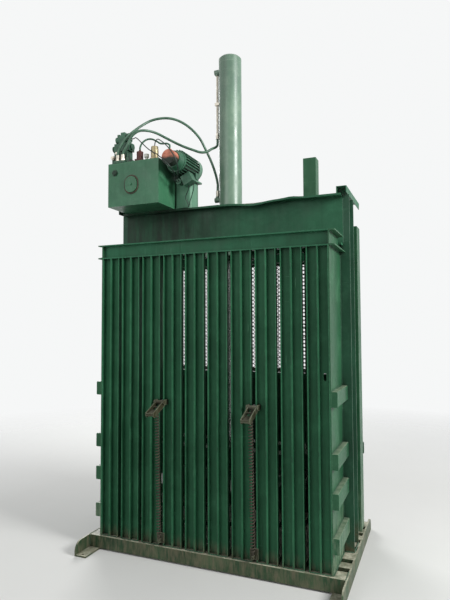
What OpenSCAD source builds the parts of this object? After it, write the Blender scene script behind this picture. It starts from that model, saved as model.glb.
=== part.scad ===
// Vertical downstroke recycling baler, seen in use from its slotted rear wall.
// Millimetres, +Z up, rear wall towards -Y, lower door and feed gate towards +Y.

/* [Chamber walls] */
// Channel pairs that make up the rear wall
panel_n = 10; // [6:1:12]
// Width of one wall channel, two of them make a panel
chan_w = 76; // [60:1:90]
// Depth of a wall channel from web to flange toe
chan_d = 40; // [30:1:60]
// Web thickness of a wall channel
chan_t = 5; // [4:0.5:8]
// Tie slot between two panels
slot_w = 32; // [20:1:45]
// Depth of the chamber from the rear wall face to the front posts
body_d = 965; // [900:5:1100]
// Top edge of the chamber walls above the ground
wall_top = 2385; // [2200:5:2600]
// Height of the channel that caps the walls
cap_h = 110; // [80:1:140]
// Flange thickness of the capping channel
cap_t = 8; // [6:0.5:12]
// Flange depth of the capping channel on the sides
side_cap_d = 46; // [30:1:60]
// Thickness of the side plates
side_t = 8; // [5:0.5:12]

/* [Side ribs and columns] */
// Height of a side rib
rib_h = 104; // [70:1:120]
// How far a side rib stands out from its plate
rib_d = 42; // [30:1:60]
// Height of the lowest rib's centre
rib_1 = 296; // [230:1:330]
// Height of the second rib's centre
rib_2 = 582; // [460:1:640]
// Height of the third rib's centre
rib_3 = 838; // [770:1:960]
// Height of the top rib's centre
rib_4 = 1245; // [1100:1:1400]
// Length of the side plate behind the column
side_len = 410; // [350:5:450]
// Depth of the column channel, front to rear
col_w = 200; // [180:5:210]
// How far the column flanges stand out
col_d = 81; // [60:1:88]
// Web thickness of the column
col_t = 10; // [8:0.5:14]
// Flange thickness of the column
col_f = 12; // [8:0.5:16]

/* [Base] */
// Length of the skids
skid_len = 1370; // [1330:5:1500]
// Length of skid behind the rear wall
skid_rear = 190; // [120:5:240]
// Height of the skid angle
skid_h = 105; // [90:1:120]
// Width of the skid foot
skid_w = 100; // [70:1:110]
// Thickness of the skid angle
skid_t = 12; // [8:0.5:16]
// Rounding of the skid ends
skid_r = 70; // [30:1:90]
// Clear space between the side plate and the skid's upright leg
skid_gap = 81; // [75:1:85]
// Anchor hole in the skid foot
anchor_d = 18; // [12:0.5:24]
// Anchor hole centre from the foot's inner edge
anchor_in = 45; // [30:1:55]
// Anchor hole centre from the end of the skid
anchor_end = 28; // [20:1:45]
// Width of the box beams at the rear and front of the base
base_w = 115; // [100:1:125]
// How far the rear base beam stands behind the wall
base_lip = 20; // [10:1:40]
// Wall of the base members
base_t = 8; // [5:0.5:10]
// Width of a base cross channel
cross_w = 84; // [70:1:110]
// Gap between two cross channels
cross_gap = 56; // [25:1:70]
// Height of the chamber floor channels
slat_h = 40; // [30:1:60]

/* [Head beams and cylinder] */
// Height of the head beam channels
head_h = 380; // [340:5:400]
// Height of the head beam tops above the wall top
head_up = 320; // [300:5:340]
// Flange depth of the head beams
head_f = 80; // [60:1:90]
// Web thickness of the head beams
head_w = 10; // [8:0.5:14]
// Flange thickness of the head beams
head_t = 14; // [10:0.5:18]
// Overlap of the head beam on the column flange
head_lap = 31; // [20:1:45]
// Depth of the dent in the rear head beam's top flange
dent_z = 20; // [0:1:30]
// Rise of the kink beside the dent
kink_z = 9; // [0:1:15]
// Outer diameter of the cylinder barrel
barrel_d = 190; // [170:1:194]
// Wall of the cylinder barrel
barrel_t = 17.5; // [10:0.5:22]
// Length of the cylinder barrel beyond the platen's travel
barrel_room = 205; // [150:5:300]
// Thickness of the cylinder cap
cap_l = 55; // [40:1:70]
// Diameter of the piston rod
rod_d = 100; // [80:1:110]
// Thickness of the cylinder's mounting flange
cyl_flange_t = 30; // [20:1:40]
// Width of the cylinder's mounting flange
cyl_flange_w = 340; // [300:5:420]

/* [Platen] */
// Height of the platen face above the ground at rest
platen_z = 620; // [560:5:700]
// Travel of the platen
stroke = 1400; // [1200:10:1400]
// Gap between the platen and the side plates
platen_gap = 19; // [12:1:30]
// Height of the platen's face channels
platen_h = 70; // [50:1:90]
// Height of the platen's cross beams
platen_beam_h = 90; // [70:1:110]
// Width of a platen cross beam
platen_beam_w = 120; // [80:1:160]
// Width of a guide post
post_w = 100; // [80:1:110]
// Wall of a guide post
post_t = 6; // [4:0.5:10]
// Centre of the guide posts from the middle of the baler
post_x = 678; // [600:1:720]
// How far the guide posts stand above the head beams at rest
post_up = 330; // [200:5:400]
// Sliding clearance of rods and posts in their guides
slide_gap = 1; // [0.5:0.5:3]

/* [Front] */
// Front post width seen from the side
fpost_w = 150; // [120:1:160]
// Front post width seen from the front
fpost_d = 75; // [60:1:81]
// Wall of the front post
fpost_t = 8; // [5:0.5:10]
// Height of the front post above the wall top
fpost_up = 155; // [90:5:260]
// Height of the sill between the door and the gate
sill_z = 1330; // [1250:5:1400]
// Length of guide left round the raised gate
guide_hold = 570; // [420:10:620]
// Outer size of a gate guide channel
guide_w = 50; // [45:1:60]
// Wall of a gate guide channel
guide_t = 5; // [4:0.5:6]
// Height of the feed gate
gate_h = 965; // [900:5:1000]
// Travel of the feed gate
gate_lift = 950; // [800:10:950]
// Bar size of the gate's frame
gate_bar = 34; // [28:1:34]
// Wire diameter of the gate's mesh
wire_d = 6; // [4:0.5:8]
// Spacing of the mesh wires
mesh_p = 90; // [60:5:120]
// Gap between the door channels and the front posts
door_gap = 5; // [3:0.5:10]
// Height of a door cross channel
door_rail_h = 100; // [80:1:120]
// Diameter of the door hinge pins
pin_d = 22; // [16:1:26]
// Diameter of the door hinge knuckles
knuckle_d = 40; // [34:1:44]
// Height of one hinge knuckle
knuckle_h = 38; // [30:1:45]
// Diameter of the door lock screw
lock_d = 30; // [20:1:34]
// Travel of the door lock screw
lock_travel = 36; // [20:1:40]
// Length of the lock's tee handle
tee_l = 320; // [200:5:400]

/* [Bale dogs] */
// Height of the dog's pivot above the ground
dog_z = 1165; // [1150:5:1180]
// Length of the dog's tail outside the wall
dog_out = 172; // [140:1:190]
// Fall of the tail over its length
dog_fall = 75; // [50:1:100]
// Outer width of the dog
dog_w = 66; // [56:1:72]
// Plate thickness of the dog
dog_t = 6; // [4:0.5:8]
// Depth of the dog's side plates
dog_side = 36; // [32:1:50]
// Outer diameter of the dog springs
spring_od = 36; // [30:1:44]
// How far out from the wall the springs hook onto the dogs
spring_out = 65; // [60:1:75]
// Wire of the dog springs
spring_wire = 8; // [5:0.5:9]
// Height of the spring anchors
anchor_z = 178; // [165:1:220]

/* [Power unit] */
// Tank width
tank_w = 470; // [400:5:490]
// Tank depth
tank_d = 340; // [300:5:350]
// Tank height
tank_h = 350; // [280:5:400]
// Right side of the tank from the middle of the baler
tank_x = 430; // [420:1:450]
// How far the tank's rear face lies in front of the wall face
tank_y = 60; // [40:1:80]
// Sheet thickness of the tank
tank_t = 4; // [3:0.5:6]
// Side of the motor's square post
ped_w = 152; // [120:1:170]
// Height of the motor's post
ped_h = 225; // [180:1:230]
// Corner rounding of the post
ped_r = 25; // [10:1:35]
// Radius over the motor's fins
motor_r = 97; // [85:1:100]
// Height of the motor's axis above the head beams
motor_z = 340; // [335:1:360]
// Diameter of the pump
pump_d = 116; // [90:1:130]
// Side of the motor's conduit box
box_s = 84; // [60:1:100]
// Length of the motor's finned body
motor_l = 250; // [200:5:260]
// Outer diameter of the two main hoses
hose_d = 22; // [16:1:28]
// Height of the second hose's joint above the cylinder's lower port
joint_up = 520; // [400:10:700]

/* [Hidden] */
$fn = 48;

// Colours of the painted machine
green = [0.16, 0.36, 0.27];
light_green = [0.30, 0.52, 0.42];
base_grey = [0.33, 0.37, 0.31];
rust = [0.30, 0.20, 0.13];
steel = [0.62, 0.62, 0.60];
black = [0.08, 0.08, 0.08];

// Places along the depth, from the rear wall's outer face
wall_y = skid_rear - skid_len / 2;
col_y = wall_y + side_len;
col_y2 = col_y + col_w;
mid_y = (col_y + col_y2) / 2;
front_y = wall_y + body_d;
fpost_y = front_y - fpost_w;
door_y = front_y + door_gap;
door_y2 = door_y + 2 * chan_d;

// Places across the width
panel_w = 2 * chan_w;
pitch = panel_w + slot_w;
wall_w = panel_n * panel_w + (panel_n - 1) * slot_w;
half = wall_w / 2;
plate_x = half + side_t;
skid_x = plate_x + skid_gap + skid_t;
member_x = skid_x - skid_t;
fpost_x = half + fpost_d;

// Heights
cap_z = wall_top - cap_h;
head_top = wall_top + head_up;
head_z = head_top - head_h;
fpost_top = wall_top + fpost_up;
guide_top = sill_z + gate_lift + guide_hold;
post_top = head_top + post_up;
deck_z = platen_z + platen_h + platen_beam_h;
deck_t = 20;
rod_foot = deck_z + deck_t;
barrel_l = stroke + barrel_room;
barrel_top = head_z + barrel_l;

// Long hole in the last rear panel
wall_hole_in = chan_w / 2;
wall_hole_z = sill_z + 60;
wall_hole_w = 20;
wall_hole_h = 54;

// Places of the two bale dogs, in the third slot from either side
dog_slot = floor((panel_n - 1) / 2) - 2;
dog_x = half - (dog_slot + 1) * pitch + slot_w / 2;

// Basic sections
module along_x(x0, l) translate([x0, 0, 0]) rotate([90, 0, 90]) linear_extrude(l) children();
module along_y(y0, l) translate([0, y0 + l, 0]) rotate([90, 0, 0]) linear_extrude(l) children();
module along_z(z0, l) translate([0, 0, z0]) linear_extrude(l) children();
module box(lo, hi) translate(lo) cube([for (i = [0:2]) hi[i] - lo[i]]);
module pair() {
  children();
  mirror([1, 0, 0]) children();
}
module rod_x(x0, l, y, z, d) translate([x0, y, z]) rotate([0, 90, 0]) cylinder(h = l, d = d);
module rod_y(x, y0, l, z, d) translate([x, y0 + l, z]) rotate([90, 0, 0]) cylinder(h = l, d = d);
module rod_z(x, y, z0, l, d) translate([x, y, z0]) cylinder(h = l, d = d);

// Rolled channel: web at the top of the section, tapered flanges reaching down to 0
module channel2d(w, d, tw, tf) {
  root = 1.5 * tf;
  polygon([[0, 0], [tf, 0], [root, d - tw], [w - root, d - tw], [w - tf, 0], [w, 0], [w, d], [0, d]]);
}
// Rectangle with rounded corners of radius r
module rounded2d(w, h, r) {
  translate([r, 0]) square([w - 2 * r, h]);
  translate([0, r]) square([w, h - 2 * r]);
  for (x = [r, w - r], y = [r, h - r]) translate([x, y]) circle(r);
}
module tube2d(w, h, t) difference() {
  square([w, h]);
  translate([t, t]) square([w - 2 * t, h - 2 * t]);
}

module obround2d(w, h) {
  translate([-w / 2, -(h - w) / 2]) square([w, h - w]);
  for (s = [-1, 1]) translate([0, s * (h - w) / 2]) circle(w / 2);
}

// Sweep of a round section along a list of points, its frame held by a fixed side vector
function unit(v) = v / norm(v);
function heading(p, i) = let (m = len(p) - 1) i == 0 ? unit(p[1] - p[0]) : i == m ? unit(p[m] - p[m - 1])
  : unit(unit(p[i + 1] - p[i]) + unit(p[i] - p[i - 1]));
function hermite(a, b, u, v, t) = (2 * t - 3) * t * t * (a - b) + a
  + norm(b - a) * ((t - 2) * t * t * u + t * u + (t - 1) * t * t * v);
function smooth(p, n) = let (m = len(p) - 1) concat(
  [for (i = [0:m - 1], k = [0:n - 1]) hermite(p[i], p[i + 1], heading(p, i), heading(p, i + 1), k / n)],
  [p[m]]);
module sweep(pts, d, sides, hold) {
  m = len(pts) - 1;
  rings = [for (i = [0:m])
    let (t = unit(pts[min(i + 1, m)] - pts[max(i - 1, 0)]), s = unit(cross(t, hold)), b = cross(s, t))
    [for (k = [0:sides - 1]) pts[i] + d / 2 * (cos(360 * k / sides) * s + sin(360 * k / sides) * b)]];
  polyhedron(
    points = [for (r = rings) each r],
    faces = concat(
      [[for (k = [0:sides - 1]) k]],
      [[for (k = [0:sides - 1]) (m + 1) * sides - 1 - k]],
      [for (i = [0:m - 1], k = [0:sides - 1], q = [0, 1])
        let (a = (i + 1) * sides + k, b = (i + 1) * sides + (k + 1) % sides,
          c = i * sides + (k + 1) % sides, e = i * sides + k)
        q == 0 ? [a, b, c] : [a, c, e]]));
}

// Base
module skid() color(base_grey) difference() {
  union() {
    intersection() {
      box([skid_x - skid_t, -skid_len / 2, 0], [skid_x, skid_len / 2, skid_h]);
      along_x(skid_x - skid_t, skid_t) translate([-skid_len / 2, -skid_r])
        rounded2d(skid_len, skid_h + skid_r, skid_r);
    }
    box([skid_x - skid_w, -skid_len / 2, 0], [skid_x - skid_t / 2, skid_len / 2, skid_t]);
  }
  for (s = [-1, 1])
    rod_z(skid_x - skid_w + anchor_in, s * (skid_len / 2 - anchor_end), -1, skid_t + 2, anchor_d);
}
module base_members() color(base_grey) {
  for (y = [wall_y - base_lip, door_y2 - base_w])
    along_x(-member_x, 2 * member_x) translate([y, skid_t]) tube2d(base_w, skid_h - skid_t, base_t);
  y0 = wall_y - base_lip + base_w;
  room = door_y2 - base_w - y0;
  n = round(room / (cross_w + cross_gap));
  gap = (room - n * cross_w) / n;
  for (i = [0:n - 1]) along_x(-member_x, 2 * member_x)
    translate([y0 + i * (cross_w + gap) + (i < 2 ? gap : 0), skid_t])
      channel2d(cross_w, skid_h - skid_t, base_t, base_t);
}
module floor_channels() color(base_grey) for (i = [0:panel_n - 1])
  along_y(wall_y + chan_d, body_d - chan_d)
    translate([i * pitch - half, skid_h]) channel2d(panel_w, slat_h, chan_t, chan_t);

// Chamber walls
module wall_panel(h) for (k = [0, 1]) translate([k * chan_w, 0])
  linear_extrude(h) channel2d(chan_w, chan_d, chan_t, chan_t);
module rear_panels() color(green) difference() {
  for (i = [0:panel_n - 1])
    translate([i * pitch - half, wall_y, skid_h]) wall_panel(cap_z - skid_h);
  translate([half - wall_hole_in, wall_y + chan_d + 1, wall_hole_z]) rotate([90, 0, 0])
    linear_extrude(chan_t + 2) obround2d(wall_hole_w, wall_hole_h);
}
module rear_top_channel() color(green) along_x(-half, wall_w)
  translate([wall_y, wall_top]) rotate(-90) channel2d(cap_h, chan_d, cap_t, cap_t);
module side_cap(y0, l) along_y(y0, l) translate([half + side_cap_d, cap_z])
  rotate(90) channel2d(cap_h, side_cap_d, cap_t, cap_t);
module side_top_channels() color(light_green) difference() {
  pair() {
    side_cap(wall_y, side_len);
    side_cap(col_y2, fpost_y - col_y2);
  }
  cope = half + side_cap_d + 1;
  for (y = [col_y - head_f - 1, col_y2 - 1])
    box([-cope, y, head_z - 1], [cope, y + head_f + 2, wall_top + 1]);
}
module side_plate() color(light_green) {
  box([half, wall_y, skid_h], [plate_x, col_y, cap_z]);
  box([half, col_y2, skid_h], [plate_x, fpost_y, cap_z]);
}
module rib2d() difference() {
  translate([-rib_d, 0]) intersection() {
    rounded2d(2 * rib_d, rib_h, side_t);
    translate([rib_d, 0]) square([rib_d, rib_h]);
  }
  translate([-1, side_t]) square([rib_d - side_t + 1, rib_h - 2 * side_t]);
}
module side_ribs() color(light_green) for (z = [rib_1, rib_2, rib_3, rib_4])
  translate([plate_x, 0, z - rib_h / 2]) {
    along_y(wall_y, side_len) rib2d();
    box([0, wall_y, side_t], [rib_d - side_t, wall_y + side_t, rib_h - side_t]);
  }
module column() color(green) along_z(skid_h, head_top - skid_h)
  translate([half + col_d, col_y]) rotate(90) channel2d(col_w, col_d, col_t, col_f);

// Front frame
lock_z = (skid_h + sill_z) / 2;
lock_x = half + fpost_d / 2;
nut_l = lock_travel + fpost_t;
lock_bore = lock_d + 4;
module front_post() color(light_green)
  along_z(skid_h, fpost_top - skid_h) translate([half, fpost_y]) tube2d(fpost_d, fpost_w, fpost_t);
module front_post_right() {
  color(light_green) difference() {
    union() {
      front_post();
      box([half + fpost_t, front_y - fpost_t - nut_l, lock_z - fpost_d / 2],
        [fpost_x - fpost_t, front_y - fpost_t, lock_z + fpost_d / 2]);
    }
    rod_y(lock_x, front_y - fpost_t - nut_l - 1, nut_l + fpost_t + 2, lock_z, lock_bore);
  }
}
guide_y = front_y - guide_w;
module front_header() color(green) along_x(-half, wall_w)
  translate([guide_y, fpost_top]) rotate(-90)
    mirror([0, 1]) channel2d(fpost_top - cap_z, guide_y - fpost_y, chan_t, cap_t);
module sill_beam() color(green) along_x(-half, wall_w)
  translate([guide_y, sill_z - guide_t - guide_w]) tube2d(guide_w, guide_w, guide_t);
module side_headers() color(green) pair()
  along_y(col_y - head_f, front_y - col_y + head_f)
    translate([half, head_top]) channel2d(fpost_d, guide_w, guide_t, guide_t);
module gate_guides() color(steel) {
  pair() {
    along_z(sill_z - guide_t, guide_top - sill_z + guide_t)
      translate([half - guide_w, front_y]) rotate(-90) difference() {
        square(guide_w);
        translate([guide_t, -1]) square([guide_w - 2 * guide_t, guide_w - guide_t + 1]);
      }
    box([half - guide_w, guide_y, sill_z - guide_t], [half, front_y, sill_z]);
  }
  box([-half, guide_y - gate_bar, guide_top - 2 * guide_w], [half, guide_y, guide_top - guide_w]);
}

// Head beams
bolt_d = 20;
bolt_x = cyl_flange_w / 2 - 40;
function dent(x) = -dent_z * exp(-pow((x - 250) / 120, 2)) + kink_z * exp(-pow((x - 565) / 60, 2));
module head_beam2d() difference() {
  square([head_f, head_h]);
  translate([-1, head_t]) square([head_f - head_w + 1, head_h - 2 * head_t]);
}
module bolt_holes() for (sx = [-1, 1], y = [col_y - head_f / 2 - 5, col_y2 + head_f / 2 + 5])
  rod_z(sx * bolt_x, y, head_z - cyl_flange_t - 1, cyl_flange_t + head_t + 2, bolt_d + 2);
// Outer part of the top flange, bent by knocks: n steps along it, m across
module bent_flange(y_toe, y_root) {
  n = 48;
  m = 4;
  l = half + head_lap;
  pts = [for (k = [0, 1], j = [0:m], i = [0:n])
    let (x = -l + 2 * l * i / n, f = j / m)
    [x, y_root + (y_toe - y_root) * f, head_top - head_t * k + dent(x) * f * f]];
  function at(k, j, i) = k * (m + 1) * (n + 1) + j * (n + 1) + i;
  polyhedron(points = pts, faces = concat(
    [for (j = [0:m - 1], i = [0:n - 1], q = [0, 1])
      q == 0 ? [at(0, j, i), at(0, j, i + 1), at(0, j + 1, i + 1)]
        : [at(0, j, i), at(0, j + 1, i + 1), at(0, j + 1, i)]],
    [for (j = [0:m - 1], i = [0:n - 1], q = [0, 1])
      q == 0 ? [at(1, j, i), at(1, j + 1, i + 1), at(1, j, i + 1)]
        : [at(1, j, i), at(1, j + 1, i), at(1, j + 1, i + 1)]],
    [for (i = [0:n - 1]) [at(0, 0, i), at(1, 0, i), at(1, 0, i + 1), at(0, 0, i + 1)]],
    [for (i = [0:n - 1]) [at(0, m, i), at(0, m, i + 1), at(1, m, i + 1), at(1, m, i)]],
    [for (j = [0:m - 1]) [at(0, j, 0), at(0, j + 1, 0), at(1, j + 1, 0), at(1, j, 0)]],
    [for (j = [0:m - 1]) [at(0, j, n), at(1, j, n), at(1, j + 1, n), at(0, j + 1, n)]]));
}
module head_beam_rear() color(green) difference() {
  l = half + head_lap;
  flat = head_f / 4;
  union() {
    along_x(-l, 2 * l) difference() {
      translate([col_y - head_f, head_z]) head_beam2d();
      translate([col_y - head_f - 1, head_top - head_t - 1]) square([head_f - flat + 1, head_t + 2]);
    }
    bent_flange(col_y - head_f, col_y - flat + 2);
  }
  bolt_holes();
}
module head_beam_front() color(green) difference() {
  l = half + head_lap;
  along_x(-l, 2 * l) translate([col_y2 + head_f, head_z]) mirror([1, 0]) head_beam2d();
  bolt_holes();
}

// Cylinder
bore_d = barrel_d - 2 * barrel_t;
port_d = 44;
port_x = barrel_d / 2 + port_d / 2;
port_low = head_top + 85;
port_high = barrel_top - port_d;
module cylinder_barrel() color(light_green) rod_tube(barrel_d, bore_d, head_z, barrel_l);
module rod_tube(d1, d2, z, l) difference() {
  rod_z(0, mid_y, z, l, d1);
  rod_z(0, mid_y, z - 1, l + 2, d2);
}
stub_d = 32;
stub_l = port_d / 2 + 8;
module port_boss(z, up) difference() {
  union() {
    rod_x(-port_x - port_d / 2, port_d + 30, mid_y, z, port_d);
    rod_z(-port_x, mid_y, up ? z : z - stub_l, stub_l, stub_d);
  }
  rod_z(0, mid_y, z - port_d, 2 * port_d, barrel_d);
}
module cylinder_head() color(light_green) {
  difference() {
    union() {
      box([-cyl_flange_w / 2, col_y - head_f, head_z - cyl_flange_t],
        [cyl_flange_w / 2, col_y2 + head_f, head_z]);
      rod_z(0, mid_y, head_z - 2 * cyl_flange_t, cyl_flange_t + 1, rod_d + 50);
    }
    rod_z(0, mid_y, head_z - 2 * cyl_flange_t - 1, 2 * cyl_flange_t + 2, rod_d + slide_gap);
    bolt_holes();
  }
  port_boss(port_low, true);
}
module cylinder_cap() color(light_green) {
  rod_z(0, mid_y, barrel_top, cap_l - 12, barrel_d);
  translate([0, mid_y, barrel_top + cap_l - 12]) cylinder(h = 12, d1 = barrel_d, d2 = barrel_d - 24);
  port_boss(port_high, false);
}
module cylinder_bolts() color(steel) for (sx = [-1, 1], y = [col_y - head_f / 2 - 5, col_y2 + head_f / 2 + 5])
  translate([sx * bolt_x, y, 0]) {
    translate([0, 0, head_z - cyl_flange_t - 13]) cylinder(h = 13, d = 1.7 * bolt_d, $fn = 6);
    rod_z(0, 0, head_z - cyl_flange_t - 1, cyl_flange_t + head_t + 22, bolt_d);
    translate([0, 0, head_z + head_t]) cylinder(h = 16, d = 1.7 * bolt_d, $fn = 6);
  }
module guide_sleeves() color(green) pair() {
  hole = post_w + 2 * slide_gap;
  difference() {
    box([post_x - 3 * post_w / 4, col_y, head_top - head_h + 60],
      [post_x + 3 * post_w / 4, col_y2, head_top - 30]);
    box([post_x - hole / 2, mid_y - hole / 2, head_z], [post_x + hole / 2, mid_y + hole / 2, head_top]);
  }
}

// Platen with its rod and guide posts
plat_y = wall_y + chan_d + 15;
plat_y2 = guide_y - 15;
module platen() color(green) {
  hx = half - platen_gap;
  beam_off = platen_beam_w / 2 + post_w / 2 + 40;
  intersection() {
    for (i = [0:panel_n - 1]) along_y(plat_y, plat_y2 - plat_y)
      translate([i * pitch - half, platen_z + platen_h]) mirror([0, 1])
        channel2d(panel_w, platen_h, base_t, base_t);
    box([-hx, plat_y, platen_z], [hx, plat_y2, platen_z + platen_h]);
  }
  for (x = [-hx, hx - base_t]) box([x, plat_y, platen_z], [x + base_t, plat_y2, platen_z + platen_h]);
  for (s = [-1, 1]) along_x(-hx + 30, 2 * hx - 60)
    translate([mid_y + s * beam_off - platen_beam_w / 2, platen_z + platen_h])
      tube2d(platen_beam_w, platen_beam_h, base_t);
  for (x = [-post_x, 0, post_x]) box([x - post_w, mid_y - beam_off - platen_beam_w / 2, deck_z],
    [x + post_w, mid_y + beam_off + platen_beam_w / 2, rod_foot]);
}
piston_l = 80;
piston_z = head_z + 20;
module piston_rod() color(steel) {
  rod_z(0, mid_y, rod_foot, piston_z - rod_foot + 1, rod_d);
  rod_z(0, mid_y, piston_z, piston_l, bore_d - 0.6);
}
module guide_posts() color(green) pair() along_z(rod_foot, post_top - rod_foot)
  translate([post_x - post_w / 2, mid_y - post_w / 2]) tube2d(post_w, post_w, post_t);

// Feed gate
gate_x = half - guide_t - 3;
gate_y = guide_y + (guide_w - gate_bar) / 2;
module feed_gate() color(steel) {
  y = gate_y + gate_bar / 2;
  z2 = sill_z + gate_h;
  difference() {
    box([-gate_x, gate_y, sill_z], [gate_x, gate_y + gate_bar, z2]);
    box([-gate_x + 2 * gate_bar, gate_y - 1, sill_z + gate_bar],
      [gate_x - 2 * gate_bar, gate_y + gate_bar + 1, z2 - gate_bar]);
  }
  wide = 2 * gate_x - 4 * gate_bar;
  high = gate_h - 2 * gate_bar;
  nx = round(wide / mesh_p);
  nz = round(high / mesh_p);
  for (i = [1:nx - 1]) rod_z(-wide / 2 + wide * i / nx, y, sill_z + gate_bar - 1, high + 2, wire_d);
  for (i = [1:nz - 1]) rod_x(-wide / 2 - 1, wide + 2, y, sill_z + gate_bar + high * i / nz, wire_d);
}

// Lower door with its hinges and screw lock
hinge_x = half + 61;
hinge_y = front_y + 35;
door_z = skid_h + 10;
door_top = sill_z - 20;
rails = [door_z, lock_z - door_rail_h / 2, door_top - door_rail_h];
module lower_door() color(green) difference() {
  union() {
    for (i = [0:panel_n - 1]) along_z(door_z, door_top - door_z)
      translate([i * pitch - half, door_y + chan_d]) mirror([0, 1])
        channel2d(panel_w, chan_d, chan_t, chan_t);
    for (z = rails) {
      along_x(-half - 26, wall_w + 52) translate([door_y2, z + door_rail_h]) rotate(-90)
        mirror([0, 1]) channel2d(door_rail_h, chan_d, cap_t, cap_t);
      rod_z(-hinge_x, hinge_y, z + door_rail_h / 2 - knuckle_h / 2, knuckle_h, knuckle_d);
      box([-hinge_x, hinge_y + 4, z + door_rail_h / 2 - knuckle_h / 2],
        [-half - 20, hinge_y + 24, z + door_rail_h / 2 + knuckle_h / 2]);
    }
    box([half + 10, door_y + chan_d, lock_z - 45], [fpost_x, door_y + chan_d + 24, lock_z + 45]);
  }
  for (z = rails) rod_z(-hinge_x, hinge_y, z, door_rail_h, pin_d + 0.8);
  rod_y(lock_x, door_y, 3 * chan_d, lock_z, lock_d + 2);
}
module door_hinges() color(steel) for (z = rails) {
  zc = z + door_rail_h / 2;
  for (z0 = [zc - knuckle_h * 1.5 - 0.5, zc + knuckle_h / 2 + 0.5]) {
    rod_z(-hinge_x, hinge_y, z0, knuckle_h, knuckle_d);
    box([-hinge_x - 14, front_y, z0], [-hinge_x + 14, hinge_y, z0 + knuckle_h]);
  }
  rod_z(-hinge_x, hinge_y, zc - knuckle_h * 1.5, 3 * knuckle_h, pin_d);
}
collar_y = door_y + chan_d + 24 + lock_travel + 0.5;
collar_l = 12;
module lock_collar() color(steel) difference() {
  rod_y(lock_x, collar_y, collar_l, lock_z, 1.9 * lock_d);
  rod_y(lock_x, collar_y - 1, collar_l + 2, lock_z, lock_d + 1);
}
module lock_screw() color(steel) {
  tip = front_y + 3;
  hub = collar_y + collar_l + 0.4;
  rod_y(lock_x, tip, hub - tip + 1, lock_z, lock_d);
  rod_y(lock_x, hub, 36, lock_z, 1.6 * lock_d);
  rod_z(lock_x, hub + 18, lock_z - tee_l / 2, tee_l, 20);
}

// Bale dogs and their springs
dog_pin_y = wall_y - 22;
dog_pin_d = 16;
eye_y = wall_y - spring_out;
dog_rise = 18;
spring_y = wall_y - 8 - spring_od / 2 - 3;
dog_drop = dog_side - 10;
web_y = eye_y - spring_od / 2 - 5;
eye_z = dog_z + dog_rise - dog_fall * spring_out / dog_out - 0.55 * dog_side;
eye_d = 10;
tail_z = dog_z + dog_rise - dog_fall;
web_z = dog_z + dog_rise - dog_fall * (wall_y - web_y) / dog_out - dog_drop;
module dog_side2d() polygon([
  [wall_y - 4, dog_z + dog_rise], [wall_y - dog_out, dog_z + dog_rise - dog_fall],
  [wall_y - dog_out, dog_z + dog_rise - dog_fall - dog_side * 0.6],
  [wall_y - dog_out + 20, dog_z + dog_rise - dog_fall - dog_side],
  [wall_y - 4, dog_z + dog_rise - dog_side - 10]]);
module bale_dog() color(rust) difference() {
  union() {
    for (x = [-dog_w / 2, dog_w / 2 - dog_t]) along_x(x, dog_t) dog_side2d();
    along_x(-dog_w / 2 + 1, dog_w - 2) polygon([
      [web_y, web_z], [wall_y - dog_out + dog_t, tail_z - 0.45 * dog_side],
      [wall_y - dog_out + dog_t, tail_z - 3],
      [wall_y - dog_out, tail_z - 3], [wall_y - dog_out, tail_z - 0.58 * dog_side],
      [wall_y - dog_out + 14, tail_z - 0.75 * dog_side], [web_y, web_z - dog_t]]);
    rod_x(-dog_w / 2 + 1, dog_w - 2, eye_y, eye_z, eye_d);
    rod_x(-dog_w / 2 + 1, dog_w - 2, dog_pin_y, dog_z, dog_pin_d + 14);
    along_x(-slot_w / 2 + 4, slot_w - 8) polygon([
      [dog_pin_y - 4, dog_z + 12], [wall_y + chan_d + 5, dog_z + 12], [wall_y + chan_d + 55, dog_z - 40],
      [wall_y + chan_d + 55, dog_z - 56], [dog_pin_y - 4, dog_z - 44]]);
  }
  rod_x(-dog_w, 2 * dog_w, dog_pin_y, dog_z, dog_pin_d + 0.8);
}
module bale_dog_right() translate([dog_x, 0, 0]) bale_dog();
module bale_dog_left() translate([-dog_x, 0, 0]) bale_dog();
module dog_brackets() color(rust) for (s = [-1, 1]) translate([s * dog_x, 0, 0]) {
  rod_x(-dog_w / 2 - 10, dog_w + 20, dog_pin_y, dog_z, dog_pin_d);
  for (x = [-dog_w / 2 - 10, dog_w / 2 + 2]) {
    rod_x(x, 8, dog_pin_y, dog_z, dog_pin_d + 20);
    box([x, dog_pin_y, dog_z - dog_pin_d / 2 - 10],
      [x + 8, wall_y + chan_d - chan_t, dog_z + dog_pin_d / 2 + 10]);
  }
  box([-slot_w / 2 - 14, wall_y - 8, anchor_z - 50], [slot_w / 2 + 14, wall_y, anchor_z + 24]);
  box([-6, spring_y - 10, anchor_z - 40], [6, wall_y - 8, anchor_z - 18]);
}
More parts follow.
